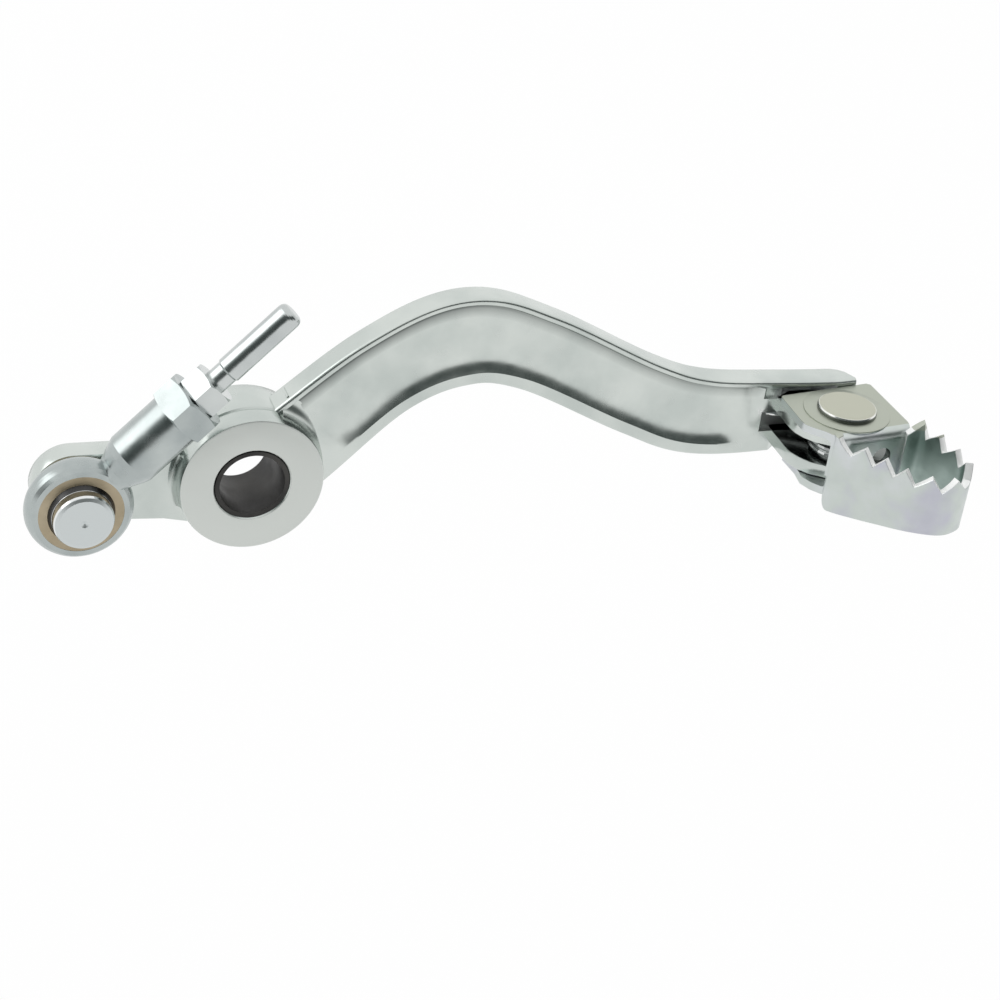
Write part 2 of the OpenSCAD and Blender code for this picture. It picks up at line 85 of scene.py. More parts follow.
# the toe pin, the heights of the fork's lugs and slots, and the sheet folded round the fork
TOE = (142.5, -15.0)
LUG_TOP, SLOT_TOP, SLOT_FLOOR, LUG_FOOT = 10.85, 7.2, 1.9, -1.5
LUG_R, PIN_HOLE_R, LUG_RIM = 8.4, 4.05, 0.25
POCKET_TOP, SLOT_BACK, SWEEP_R = 13.6, -0.6, 17
SHEET, BEND_R = 2.0, 0.8
PLATE_TOP, PLATE_LOW = 13.0, -3.65
PIN_TOP, PIN_CHAMFER = 14.75, 0.55
PLATE_BACK, CORNER_X, STOP_GAP = 10.7, -11.3, 0.15
WEB_IN, WEB_HOLE_R = 8.8, 2.6
PAD_R, PAD_H = 10.4, 0.25
BRACKET_TURN = math.radians(7.5)
UPPER_PLAN = [
    (-11.9, 10.2), (-11.3, 10.7), (12.9, 10.7), (13.7, 9.9), (12.1, -8.9), (10.9, -13.5),
    (-6.1, -11.5), (-9.0, -10.2), (-10.4, -7.1), (-12.3, -4.7), (-13.4, -2.9), (-13.5, -1.3),
]
LOWER_PLAN = [
    (-9.7, 8.0), (11.8, 8.0), (12.9, 7.0), (12.1, -8.9), (10.9, -13.5), (-6.1, -11.5),
    (-7.4, -11.3), (-8.9, -8.8), (-10.7, -5.8), (-11.5, -2.8), (-10.3, 1.5),
]
LOOP = [
    (11.5, -9.6), (15.9, -10.2), (18.0, -14.2), (19.6, -19.3), (20.5, -23.6), (18.8, -27.2),
    (14.2, -29.2), (9.3, -27.9), (4.9, -24.9), (1.1, -20.4), (-2.6, -15.8), (-6.6, -11.6),
    (-6.9, -9.8),
]
# toothed edge: place along the loop, and height from a tooth's root (0) to its tip (1)
TEETH = [
    (0, 0.3), (0.9, 1.24), (1.27, 0), (2.03, 1), (2.4, 0), (3.1, 1), (3.55, 0), (4.3, 1), (4.7, 0),
    (5.3, 0), (5.85, 1), (6.5, 0), (7, 1), (7.7, 0), (8.15, 1), (8.6, 0), (9.05, 1), (9.5, 0),
    (9.95, 1), (10.45, 0), (11.15, 1), (12, 1),
]
TOOTH_H, TREAD_RIM = 3.3, 0.18

# points round a prism with a hole, distance at which a cut's stray points merge, and the angles in
# degrees from which an edge is drawn sharp, on plain meshes and on those with rounded rims
RING_N = 96
WELD = 0.015
SHARP, SHARP_ROUNDED = 30, 40

# metallic share where light is painted on a surface, and the width over which a zone begins
PAINTED_LIGHT_METALLIC = 0.2
ZONE_SOFT = 0.08

# the photograph's view: camera angles in degrees, focal length in pixels, pixels per millimetre at
# the pivot and the pivot's place in the picture, whose side has 1000 pixels
CAM_AZ, CAM_EL, CAM_ROLL = -23.1, 30.9, 8.0
CAM_F, CAM_SCALE = 2400.0, 4.435
CAM_ORIGIN = (243.6, 465.8)
PICTURE, SENSOR = 1000, 36


def ease(v, a, b):
    """Smooth step: 3 s^2 - 2 s^3 with s running from 0 at a to 1 at b."""
    s = np.clip((np.asarray(v, float) - a) / (b - a), 0, 1)
    return s * s * (3 - 2 * s)


def hermite(points, t):
    """Cubic Hermite curve at places t, counted in points.

    The tangent at p[i] is (p[i+1] - p[i-1]) / 2, and the plain difference at the two ends.
    """
    p = np.asarray(points, float)
    d = np.empty_like(p)
    d[1:-1] = (p[2:] - p[:-2]) / 2
    d[0], d[-1] = p[1] - p[0], p[-1] - p[-2]
    i = np.clip(np.floor(t).astype(int), 0, len(p) - 2)
    s = (np.asarray(t) - i)[:, None]
    h0, h1 = 2 * s**3 - 3 * s**2 + 1, s**3 - 2 * s**2 + s
    return h0 * p[i] + h1 * d[i] + (1 - h0) * p[i + 1] + (s**3 - s**2) * d[i + 1]


def unit(v):
    """Rows of v divided by their lengths."""
    return v / np.maximum(np.linalg.norm(v, axis=1, keepdims=True), 1e-9)


def arc(cx, cy, r, a0, a1, n):
    """n points (cx + r cos a, cy + r sin a) with a from a0 to a1 in degrees."""
    a = np.radians(np.linspace(a0, a1, n))
    return np.stack([cx + r * np.cos(a), cy + r * np.sin(a)], -1).tolist()


def closed_grid(rings):
    """Quads over rings[i][j], closed in both directions, so the surface has no ends."""
    m, n, _ = rings.shape
    i, j = np.meshgrid(np.arange(m), np.arange(n), indexing="ij")
    i1, j1 = (i + 1) % m, (j + 1) % n
    quads = np.stack([i * n + j, i * n + j1, i1 * n + j1, i1 * n + j], -1)
    return rings.reshape(-1, 3), quads.reshape(-1, 4).tolist()


def grid(rings):
    """Quads over rings[i][j], closed round each ring, with a polygon over each end."""
    m, n, _ = rings.shape
    i, j = np.meshgrid(np.arange(m - 1), np.arange(n), indexing="ij")
    j1 = (j + 1) % n
    quads = np.stack([i * n + j, i * n + j1, (i + 1) * n + j1, (i + 1) * n + j], -1)
    caps = [list(range(n - 1, -1, -1)), [(m - 1) * n + q for q in range(n)]]
    return rings.reshape(-1, 3), quads.reshape(-1, 4).tolist() + caps


def flipped(faces):
    """The same faces seen from their other side."""
    return [face[::-1] for face in faces]


def join(parts):
    """One vertex list and face list from several closed shells."""
    verts, faces, base = [], [], 0
    for v, f in parts:
        verts.append(v)
        faces += [[q + base for q in face] for face in f]
        base += len(v)
    return np.concatenate(verts), faces


def swung(profile, angles):
    """Rings (r cos a, y, r sin a): the profile r(s), y(s) at each angle a about the Y axis."""
    p, a = np.asarray(profile, float), np.asarray(angles)[:, None]
    y = np.broadcast_to(p[:, 1], (len(a), len(p)))
    return np.stack([p[:, 0] * np.cos(a), y, p[:, 0] * np.sin(a)], -1)


def revolve(profile, steps):
    """Closed surface (r cos a, y, r sin a) with a all the way round; the profile is a loop."""
    verts, faces = closed_grid(swung(profile, np.linspace(0, 2 * np.pi, steps, endpoint=False)))
    return verts, [[a, d, c, b] for a, b, c, d in faces]


def rim_levels(z0, z1, rim):
    """Heights of a prism's rings, each with how far its plan is drawn in: two short slopes a rim."""
    if rim == 0:
        return [(z0, 0), (z1, 0)]
    return [
        (z0, rim), (z0 + 0.3 * rim, 0.3 * rim), (z0 + rim, 0),
        (z1 - rim, 0), (z1 - 0.3 * rim, 0.3 * rim), (z1, rim),
    ]


def prism(plan, z0, z1, rim=0.0, turn=None):
    """Plan polygon (x, y) raised from z0 to z1.

    At rim_levels each corner moves in by d along the normal of its two edges' mean direction. turn
    maps the rings at the end.
    """
    p = np.asarray(plan, float)
    area = np.sum(p[:, 0] * np.roll(p[:, 1], -1) - p[:, 1] * np.roll(p[:, 0], -1))
    p = p if area > 0 else p[::-1]
    mean = unit(unit(np.roll(p, -1, 0) - p) + unit(p - np.roll(p, 1, 0)))
    inward = np.stack([-mean[:, 1], mean[:, 0]], 1)
    rings = np.stack([
        np.c_[p + d * inward, np.full(len(p), z)] for z, d in rim_levels(z0, z1, rim)
    ])
    return grid(rings if turn is None else turn(rings))


def ring_prism(plan, hole, z0, z1, rim):
    """Prism with a round hole (x, y, radius) in it.

    At each of RING_N angles a the outer wall stands at c + k (cos a, sin a), where k is the greatest
    root of c + k (cos a, sin a) = s + w (e - s) over the plan's edges s to e with w from 0 to 1.
    """
    p = np.asarray(plan, float)
    c = np.array(hole[:2])
    a = np.linspace(0, 2 * np.pi, RING_N, endpoint=False)
    rays = np.c_[np.cos(a), np.sin(a)]
    reach = []
    for q in a:
        d = np.array([math.cos(q), math.sin(q)])
        best = 0
        for s, e in zip(p, np.roll(p, -1, 0)):
            m = np.array([d, s - e]).T
            if abs(np.linalg.det(m)) > 1e-9:
                k, w = np.linalg.solve(m, s - c)
                if k > 0 and -1e-6 <= w <= 1 + 1e-6:
                    best = max(best, k)
        reach.append(best)
    reach = np.array(reach)
    levels = [(z, reach - d) for z, d in rim_levels(z0, z1, rim)]
    levels += [(z, np.full(RING_N, hole[2])) for z in (z1, z0)]
    return closed_grid(np.array([
        np.c_[c + k[:, None] * rays, np.full(RING_N, z)] for z, k in levels
    ]))


def stood_up(rings):
    """(x, y, z) to (x, -z, y): a prism's plan comes to lie in X and Z, its height along -Y."""
    return np.stack([rings[..., 0], -rings[..., 2], rings[..., 1]], -1)


def turned(rings):
    """Bracket's own axes to the pedal's: turned by BRACKET_TURN about the toe pin, moved to it."""
    c, s = math.cos(BRACKET_TURN), math.sin(BRACKET_TURN)
    x, y = rings[..., 0], rings[..., 1]
    return np.stack([TOE[0] + c * x - s * y, TOE[1] + s * x + c * y, rings[..., 2]], -1)


def raw_mesh(name, verts, faces):
    """Mesh data from vertices in millimetres."""
    me = bpy.data.meshes.new(name)
    me.from_pydata([tuple(v) for v in np.asarray(verts) * MM], [], faces)
    return me


def placed(name, data):
    """Object at the origin of the scene."""
    ob = bpy.data.objects.new(name, data)
    bpy.context.scene.collection.objects.link(ob)
    return ob


def set_field(me, field, values):
    """Stores one number a vertex for the materials to read."""
    data = me.attributes.new(field, "FLOAT", "POINT").data
    data.foreach_set("value", np.asarray(values, np.float32))


def mesh_object(name, verts, faces, body, painted_shade=None, painted_light=None):
    """Smooth shaded object that rides on a body; the painted shade and painted light fields run from
    0 to 1 by vertex.
    """
    me = raw_mesh(name, verts, faces)
    for field, values in (("painted_shade", painted_shade), ("painted_light", painted_light)):
        if values is not None:
            set_field(me, field, values)
    me.validate()
    me.shade_smooth()
    me.set_sharp_from_angle(angle=math.radians(SHARP))
    ob = placed(name, me)
    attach(ob, body)
    return ob


def cut(ob, operation, verts, faces, bevel=0.0):
    """Takes closed shells out of the object's mesh, or keeps what they share; bevel rounds rims."""
    cutter = placed("cutter", raw_mesh("cutter", verts, faces))
    mod = ob.modifiers.new("cut", "BOOLEAN")
    mod.operation, mod.solver, mod.object = operation, "EXACT", cutter
    mod.use_self = True
    if bevel:
        rim = ob.modifiers.new("rim", "BEVEL")
        rim.width, rim.segments = bevel * MM, 2
        rim.limit_method, rim.angle_limit = "ANGLE", math.radians(50)
    dg = bpy.context.evaluated_depsgraph_get()
    result = bpy.data.meshes.new_from_object(ob.evaluated_get(dg))
    ob.modifiers.clear()
    bm = bmesh.new()
    bm.from_mesh(result)
    bmesh.ops.remove_doubles(bm, verts=bm.verts, dist=WELD * MM)
    bmesh.ops.dissolve_degenerate(bm, edges=bm.edges, dist=WELD * MM)
    bm.to_mesh(result)
    bm.free()
    ob.data = result
    result.shade_smooth()
    result.set_sharp_from_angle(angle=math.radians(SHARP_ROUNDED if bevel else SHARP))
    bpy.data.objects.remove(cutter)
    if not result.polygons:
        raise RuntimeError("nothing is left of " + ob.name)


def side_profile(h, top_sink, low_sink, half):
    """One side of a section of height h, top to bottom, as (outward, along the height).

    Rims are quarter circles of EDGE_R. The wall under the top flange goes in by an ease to top_sink,
    the panel runs straight to low_sink, and the slope is half - low_sink (1 - s^2), s from 0 to 1.
    """
    top, r = h / 2, EDGE_R
    slope_top, slope_foot = -top + SLOPE_TOP, -top + LOW_FLANGE
    up, down = np.radians(np.linspace(90, 0, 7)), np.radians(np.linspace(0, -90, 7))
    pts = [(half - r + r * math.cos(a), top - r + r * math.sin(a)) for a in up]
    pts += [
        (half - top_sink * float(ease(s, 0, 1)), top - TOP_FLANGE - 0.7 * s)
        for s in np.linspace(0, 1, 6)
    ]
    pts += [(half - top_sink, top - WALL_FOOT - s) for s in (0.35, 0.8)]
    pts += [
        (half - top_sink + (top_sink - low_sink) * s, (top - EVEN_FOOT) * (1 - s) + slope_top * s)
        for s in np.linspace(0, 1, 6)[1:-1]
    ]
    pts += [
        (half - low_sink * (1 - s * s), slope_top + (slope_foot - slope_top) * s)
        for s in np.linspace(0, 1, 11)
    ]
    pts += [(half - r + r * math.cos(a), -top + r + r * math.sin(a)) for a in down]
    return np.array(pts)


def stop_y(x):
    """Face of the arm's head that stops the upper plate's back edge, y at x."""
    back = (PLATE_BACK + STOP_GAP) / math.cos(BRACKET_TURN)
    return TOE[1] + back + math.tan(BRACKET_TURN) * (x - TOE[0])


def arm_bar():
    """Loft along the centreline p(t): a section point (w, v) goes to p + w Y + v n, n square to p'.

    The panels fade at both ends. The head's near side is cut back to stop_y, its far corner is a
    quarter ellipse 5 long and 4.5 deep. Also gives the painted shade under the top rim at each
    vertex.
    """
    t = np.linspace(0, len(ARM_LINE) - 1, STATIONS * (len(ARM_LINE) - 1) + 1)
    line = hermite(ARM_LINE, t)
    d = unit(np.gradient(line[:, :2], axis=0))
    first = line[0].copy()
    first[:2] -= 8 * d[0]
    line, d = np.vstack([first, line]), np.vstack([d[0], d])
    rings, painted_shade = [], []
    for (at, z, h), u in zip(line, d):
        top = PANEL_SINK * (1 - float(ease(at, 124, 127)))
        low = PANEL_SINK * float(ease(at, 15, 19)) * (1 - float(ease(at, 117, 123)))
        near = min(HALF_T, -stop_y(at)) if at > HEAD_END - 6 else HALF_T
        end = min(max(0.0, at - (HEAD_END - 5)) / 5, 1.0)
        far = HALF_T - 4.5 * (1 - math.sqrt(1 - end ** 2))
        mirrored = side_profile(h, top, low, near)[::-1] * (-1, 1)
        w = np.vstack([side_profile(h, top, low, far), mirrored])
        x = np.minimum(at - u[1] * w[:, 1], HEAD_END)
        rings.append(np.stack([x, w[:, 0], z + u[0] * w[:, 1]], -1))
        # painted shade under the rim: full where the panel is sunk, fading to half its strength from
        # x 40 to 66
        share = top / PANEL_SINK * (1 - 0.5 * float(ease(at, 40, 66)))
        painted_shade += [share * q for q in RIM_SHADE + RIM_SHADE[::-1]]
    verts, faces = grid(np.array(rings))
    return verts, flipped(faces), painted_shade


def cutters():
    """Room cut in the arm, as prisms: bush, pocket of the upper plate, slot of the spring, sweep.

    The pocket's left side is the arc that the plate's back corner sweeps about the pin, with room to
    spare, and the lower plate sweeps a circle of SWEEP_R.
    """
    x, y = TOE
    wall = -HALF_T + EDGE_R
    swept = math.hypot(CORNER_X, PLATE_BACK) + 1.2
    start = 180 - math.degrees(math.asin((wall - y) / swept))
    pocket = [(126.4, -20), (126.4, wall - 0.8), (127.2, wall)] + arc(x, y, swept, start, 103, 24)
    pocket += [(x + 3.2, -HALF_T + 0.15), (x + 3.2, -20)]
    slot = [(126.6, -30), (126.6, -2.6)] + arc(128.6, -2.6, 2, 180, 90, 8)
    slot += [(160, SLOT_BACK), (160, -30)]
    sweep = arc(x, y, SWEEP_R, 100, 270, 40) + [(162, -32), (162, 6), (150, 6)]
    return join([
        prism(arc(0, 0, BUSH_R + 0.1, 0, 357, 120), -12, 12, turn=stood_up),
        prism(pocket, LUG_TOP, POCKET_TOP),
        prism(slot, SLOT_FLOOR, SLOT_TOP),
        prism(sweep, -20, LUG_FOOT),
    ])


def paint_hollow_light(ob):
    """Painted light: field painted_light, ease(x) up to 1 on the pocket's wall, 0.5 on the slot's
    left end, lightening these shaded hollows.
    """
    me = ob.data
    co = np.empty(3 * len(me.vertices))
    me.vertices.foreach_get("co", co)
    x, y, z = co.reshape(-1, 3).T / MM
    inner = (x > 126) & (x < 147) & (y > -3.45) & (y < 2)
    painted_light = ease(x, 129, 133) * (inner & (z > LUG_TOP - 0.15) & (z < POCKET_TOP + 0.05))
    painted_light += 0.5 * (inner & (x < 129) & (z > SLOT_FLOOR - 0.2) & (z < SLOT_TOP + 0.2))
    set_field(me, "painted_light", painted_light)


def lug_plan():
    """Plan of a fork lug: straight left side, a nose of LUG_R round the pin, a blunt right end."""
    x, y = TOE
    left = [(130.2, 0), (130.2, y + 3), (130.6, y + 0.9), (131.6, y - 1.4), (133.5, y - 3.8)]
    right = [
        (x + LUG_R, y - 6.2), (x + 11.8, y - 5.2), (x + 13.2, y - 3.6), (x + 13.6, y - 1.2),
        (x + 12.8, y + 5), (150.5, -4), (150.5, 0),
    ]
    return left + arc(x, y, LUG_R, -137, -53, 24) + right


def lugs():
    """Both lugs as ring_prism shells, and their painted shade: 0.8 on the two faces inside the slot.
    """
    parts = [
        ring_prism(lug_plan(), (*TOE, PIN_HOLE_R), low, high, LUG_RIM)
        for low, high in ((LUG_FOOT, SLOT_FLOOR), (SLOT_TOP, LUG_TOP))
    ]
    # rings of a shell: six up the outer wall, then the hole's top and the hole's foot
    painted_shade = np.zeros((2, 8, RING_N))
    # painted shade on the lower lug's top and the upper lug's underside, the two faces inside the
    # slot
    painted_shade[0, [5, 6]] = painted_shade[1, [0, 7]] = 0.8
    return (*join(parts), painted_shade.ravel())


def boss():
    """Boss revolved about Y, with the bush's bore through it and a parting band round it."""
    h, r, b, band = BOSS_LEN / 2, BOSS_R, BUSH_R, BAND_HALF
    profile = [
        (b, -h + 0.5), (b + 0.5, -h), (r - 0.5, -h), (r - 0.15, -h + 0.15), (r, -h + 0.5),
        (r, -3.05), (r + 0.36, -2.7), (r + BAND_H, -band), (r + BAND_H, band), (r + 0.36, 2.7),
        (r, 3.05), (r, h - 0.5), (r - 0.15, h - 0.15), (r - 0.5, h), (b + 0.5, h), (b, h - 0.5),
    ]
    return revolve(profile[::-1], 160)


def fillet_rings():
    """Concave quarter circles of FILLET_R from boss to web, both sides, swung past arm and ear."""
    f, y0 = FILLET_R, WEB_Y
    a = np.radians(np.linspace(180, 270, 14))
    side = np.stack([BOSS_R + f + f * np.cos(a), y0 + f + f * np.sin(a)], -1)
    ends = (BOSS_R - 1, y0 + f), (BOSS_R - 1, -y0 - f)
    profile = np.vstack([ends[0], side, side[::-1] * (1, -1), ends[1]])[::-1]
    sectors = ((2, 66), (158, 204))
    return join([grid(swung(profile, np.radians(np.linspace(*s, 30)))) for s in sectors])


def ear():
    """Bar from the boss back to a rounded end about the ball stud, with soft rims."""
    cx, cz = BALL[0], BALL[2]
    plan = arc(cx, cz, EAR_R, 90, 270, 40)
    plan += [(-26, cz - EAR_R + 0.1), (-18.4, -10.9), (-13, -12.1), (-8, -12.5)]
    plan += [(-8, cz + EAR_R - 0.4)]
    return prism(plan, -EAR_T / 2, EAR_T / 2, 0.8, stood_up)


def edge_top(s, y):
    """Toothed edge at place s: a line that falls with y, less the depth from the tooth table."""
    line = 13.1 + 0.15 * (y + 11) + 0.8 * (1 - ease(s, 4.4, 5.6))
    return line - TOOTH_H * (1 - np.interp(s, *np.array(TEETH, float).T))


def edge_foot(s, y):
    """Plain bottom edge: -6.7, rising 2.4 towards the outer end and 4.2 at the cut back corner."""
    return -6.7 + 2.4 * ease(-y, 12, 29) + 4.2 * ease(s, 11, 12)


def tread():
    """Sheet carried round the loop q(s): a rectangle from edge_foot to edge_top, square to q'.

    Its corners are cut by TREAD_RIM. Also gives, by vertex, 1 on the inner face for painted shade
    and 1 on the tooth tops for a painted highlight.
    """
    s = np.concatenate([np.linspace(0, 12, 241), [t[0] for t in TEETH]])
    s = np.unique(np.round(s, 4))
    q = hermite(LOOP, s)
    d = unit(np.gradient(q, s, axis=0))
    w = np.stack([-d[:, 1], d[:, 0]], -1)
    top, foot = edge_top(s, q[:, 1]), edge_foot(s, q[:, 1])
    e, c = SHEET / 2, TREAD_RIM
    row = [
        (e, foot + c), (e - c, foot), (-e + c, foot), (-e, foot + c),
        (-e, top - c), (-e + c, top), (e - c, top), (e, top - c),
    ]
    verts, faces = grid(np.stack([np.c_[TOE + q + o * w, z] for o, z in row], 1))
    # painted shade on the inner face, painted highlight on the tooth tops
    inner = np.tile([0, 0, 1, 1, 1, 0, 0, 0], len(s))
    rim = np.tile([0, 0, 0, 0, 0, 1, 1, 0], len(s))
    return verts, flipped(faces), inner, rim


def bent_sheet():
    """C-shaped section in Y and Z, two plates and the web, drawn out along the bracket's X.

    Each bend is two quarter circles about one centre, BEND_R inside and BEND_R + SHEET outside.
    """
    y0, z0, z1, out = -WEB_IN - SHEET, PLATE_LOW, PLATE_TOP, 30.0

    def face(y, low, high, r):
        """One face of the sheet: bottom bend, then top bend."""
        return arc(y + r, low + r, r, 270, 180, 12) + arc(y + r, high - r, r, 180, 90, 12)

    def along(rings):
        """Plan in the bracket's Y and Z, height along its X."""
        return turned(np.stack([rings[..., 2], rings[..., 0], rings[..., 1]], -1))

    outer = face(y0, z0, z1, BEND_R + SHEET)
    inner = face(y0 + SHEET, z0 + SHEET, z1 - SHEET, BEND_R)
    section = [(out, z0)] + outer + [(out, z1), (out, z1 - SHEET)] + inner[::-1]
    return prism(section + [(out, z0 + SHEET)], -20, 20, turn=along)


def plate_plans():
    """What the two plates keep of the bent sheet, seen from above, as prisms that just overlap."""
    return join([
        prism(UPPER_PLAN, SLOT_FLOOR, 20, turn=turned),
        prism(LOWER_PLAN, -20, SLOT_FLOOR + 0.01, turn=turned),
    ])


def web_hole():
    """Cylinder of WEB_HOLE_R through the web."""
    circle = arc(4.5, SLOT_FLOOR + 3.8, WEB_HOLE_R, 0, 352.5, 48)
    return prism(circle, 5, 15, turn=lambda rings: turned(stood_up(rings)))


def pad():
    """Low raised disc of PAD_R under the pin's head, its rim rounded."""
    circle = [(TOE[0] + x, TOE[1] + y) for x, y in arc(0, 0, PAD_R, 0, 357, 120)]
    return prism(circle, PLATE_TOP - 0.3, PLATE_TOP + PAD_H, 0.15)


def math_node(nt, operation, *values):
    """Output of a math node; each value is a socket to link or a number to set."""
    node = nt.nodes.new("ShaderNodeMath")
    node.operation = operation
    for socket, value in zip(node.inputs, values):
        if isinstance(value, float):
            socket.default_value = value
        else:
            nt.links.new(value, socket)
    return node.outputs["Value"]


def map_node(nt, value, source=(0, 1), target=(0, 1), kind="LINEAR"):
    """Output of a node that maps the source range to the target range and stops at its ends."""
    node = nt.nodes.new("ShaderNodeMapRange")
    node.interpolation_type = kind
    ends = zip(("From Min", "From Max", "To Min", "To Max"), (*source, *target))
    for name, end in ends:
        node.inputs[name].default_value = end
    nt.links.new(value, node.inputs["Value"])
    return node.outputs["Result"]


def mix_node(nt, kind, share, a, b):
    """Output of a mix node: the socket a where share is 0, the constant b where it is 1."""
    node = nt.nodes.new("ShaderNodeMix")
    node.data_type = kind
    ins = [s for s in node.inputs if s.enabled]
    nt.links.new(share, ins[0])
    nt.links.new(a, ins[1])
    ins[2].default_value = b
    return next(s for s in node.outputs if s.enabled)


def principled(mat):
    """Node tree of a material, its Principled shader and its Object coordinates."""
    mat.use_nodes = True
    nt = mat.node_tree
    return nt, nt.nodes["Principled BSDF"], nt.nodes.new("ShaderNodeTexCoord").outputs["Object"]


def plated(name, dark, light, rough, metallic=1.0, grain=1.0, wave=1.0, tint=None, painted_shade_colour=None,
           painted_light_colour=None):
    """Plated metal: drifting shade, mottled roughness and fine bumps.

    The last two colours are the base colours of painted shade and painted light, which the vertex
    fields painted_shade and painted_light mix in; the painted light also lowers the metallic share
    to PAINTED_LIGHT_METALLIC.
    """
    mat = bpy.data.materials.new(name)
    nt, bsdf, place = principled(mat)
    new, link = nt.nodes.new, nt.links.new
    bsdf.inputs["Metallic"].default_value = metallic

    def noise(scale, detail):
        node = new("ShaderNodeTexNoise")
        node.inputs["Scale"].default_value = scale
        node.inputs["Detail"].default_value = detail
        link(place, node.inputs["Vector"])
        return node.outputs["Fac"]

    def bump(height, strength, distance):
        node = new("ShaderNodeBump")
        node.inputs["Strength"].default_value = strength
        node.inputs["Distance"].default_value = distance
        link(height, node.inputs["Height"])
        return node

    ramp = new("ShaderNodeValToRGB")
    ends = ramp.color_ramp.elements
    ends[0].position, ends[1].position = 0.35, 0.65
    ends[0].color, ends[1].color = (*dark, 1), (*light, 1)
    if tint:
        ends.new(0.5).color = (*tint, 1)
    link(noise(70, 4), ramp.inputs["Fac"])
    base = ramp.outputs["Color"]
    # painted shade and painted light, mixed into the base colour by their vertex fields
    for field, shade in (("painted_shade", painted_shade_colour), ("painted_light", painted_light_colour)):
        if shade:
            mark = new("ShaderNodeAttribute")
            mark.attribute_name = field
            base = mix_node(nt, "RGBA", mark.outputs["Fac"], base, (*shade, 1))
    if painted_light_colour:
        share = map_node(nt, mark.outputs["Fac"], target=(metallic, PAINTED_LIGHT_METALLIC))
        link(share, bsdf.inputs["Metallic"])
    link(base, bsdf.inputs["Base Color"])
    link(map_node(nt, noise(260, 5), (0.3, 0.7), rough), bsdf.inputs["Roughness"])
    fine = bump(noise(2600, 3), 0.08 * grain, 0.0002)
    broad = bump(noise(120, 2), 0.25 * wave, 0.0006)
    link(broad.outputs["Normal"], fine.inputs["Normal"])
    link(fine.outputs["Normal"], bsdf.inputs["Normal"])
    return mat


def zone(mat, axis, start, rough, shade, middle=0.0):
    """Gives the metal its own roughness and shade where |place along axis - middle| > start."""
    nt, bsdf, place = principled(mat)
    split = nt.nodes.new("ShaderNodeSeparateXYZ")
    nt.links.new(place, split.inputs["Vector"])
    shift = math_node(nt, "SUBTRACT", split.outputs[axis], middle * MM)
    away = math_node(nt, "ABSOLUTE", shift)
    mask = map_node(nt, away, ((start - ZONE_SOFT) * MM, start * MM))
    for name, kind, value in (("Roughness", "FLOAT", rough), ("Base Color", "RGBA", (*shade, 1))):
        socket = bsdf.inputs[name]
        nt.links.new(mix_node(nt, kind, mask, socket.links[0].from_socket, value), socket)


def wear(ob, mat):
    """Gives an object one material in place of any that it has."""
    ob.data.materials.clear()
    ob.data.materials.append(mat)


class PedalLook(bpy.types.PropertyGroup):
    """Sizes and strengths that the operators read."""

    gloss: bpy.props.FloatProperty(name="Plating roughness", default=0.24, min=0.05, max=0.6)
    key_power: bpy.props.FloatProperty(name="Key light, watts", default=2.0, min=0)
    box_gain: bpy.props.FloatProperty(name="Brightness of the box at the left", default=2.3, min=1)
    floor_drop: bpy.props.FloatProperty(name="Floor below the pivot, metres", default=0.3, min=0.02)


class PEDAL_OT_forging(bpy.types.Operator):
    """Lever arm, bush, ball stud, sleeve and spring"""

    bl_idname = "pedal.forging"
    bl_label = "Forged arm"

    def execute(self, context):
        g = context.scene.pedal_look.gloss
        # each coat: painted shade under the top rim and on the lugs' faces in the slot, painted
        # light in the pocket's hollows
        coats = [
            plated(name, (0.54, 0.585, 0.56), (0.64, 0.68, 0.65), (g * 0.85, g * 1.15),
                   grain=0, wave=0.7, painted_shade_colour=(0.06, 0.07, 0.066), painted_light_colour=(0.90, 0.92, 0.91))
            for name in ("zinc_forging", "zinc_lugs", "zinc_boss")
        ]
        zone(coats[2], "Y", BOSS_LEN / 2 - 0.1, 0.5, (0.70, 0.73, 0.70))
        verts, faces, painted_shade = arm_bar()
        bar = mesh_object("forged_arm", verts, faces, "arm", painted_shade=painted_shade)
        cut(bar, "DIFFERENCE", *cutters())
        # painted light on the pocket's wall and the slot's left end
        paint_hollow_light(bar)
        verts, faces, painted_shade = lugs()
        fork = mesh_object("forged_lugs", verts, faces, "arm", painted_shade=painted_shade)
        ends = mesh_object("forged_ends", *join([boss(), fillet_rings(), ear()]), "arm")
        for ob, zinc in zip((bar, fork, ends), coats):
            wear(ob, zinc)
            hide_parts("lever_arm")
        self.inserts(frame["nodes"])
        return {"FINISHED"}

    def inserts(self, nodes):
        """Materials of the pieces that sit in the arm."""
        bush = plated("bush_dark", (0.02, 0.02, 0.02), (0.07, 0.068, 0.064), (0.35, 0.5), 0.7)
        zone(bush, "Y", BOSS_LEN / 2 - 0.1, 0.3, (0.27, 0.255, 0.25))
        wear(nodes["pivot_bush"], bush)
        # the ball between race and neck is painted near black, a painted shade of its gap in the
        # race; neck and face are bright metal
        stud = plated("stud_painted_ball_shade", (0.05, 0.05, 0.05), (0.10, 0.10, 0.10), (0.2, 0.3), grain=0.4)
        zone(stud, "Y", NECK_FACE, 0.12, (0.80, 0.82, 0.82), BALL[1])
        zone(stud, "Y", BALL_FACE - 0.4, 0.34, (0.62, 0.66, 0.66), BALL[1])
        wear(nodes["ball_stud"], stud)
        sleeve = plated("sleeve_plain", (0.45, 0.46, 0.46), (0.6, 0.61, 0.6), (0.3, 0.45))
        wear(nodes["spring_sleeve"], sleeve)
        wire = plated("spring_wire", (0.80, 0.81, 0.81), (0.92, 0.93, 0.92), (0.15, 0.25), grain=0)
        wear(nodes["return_spring"], wire)


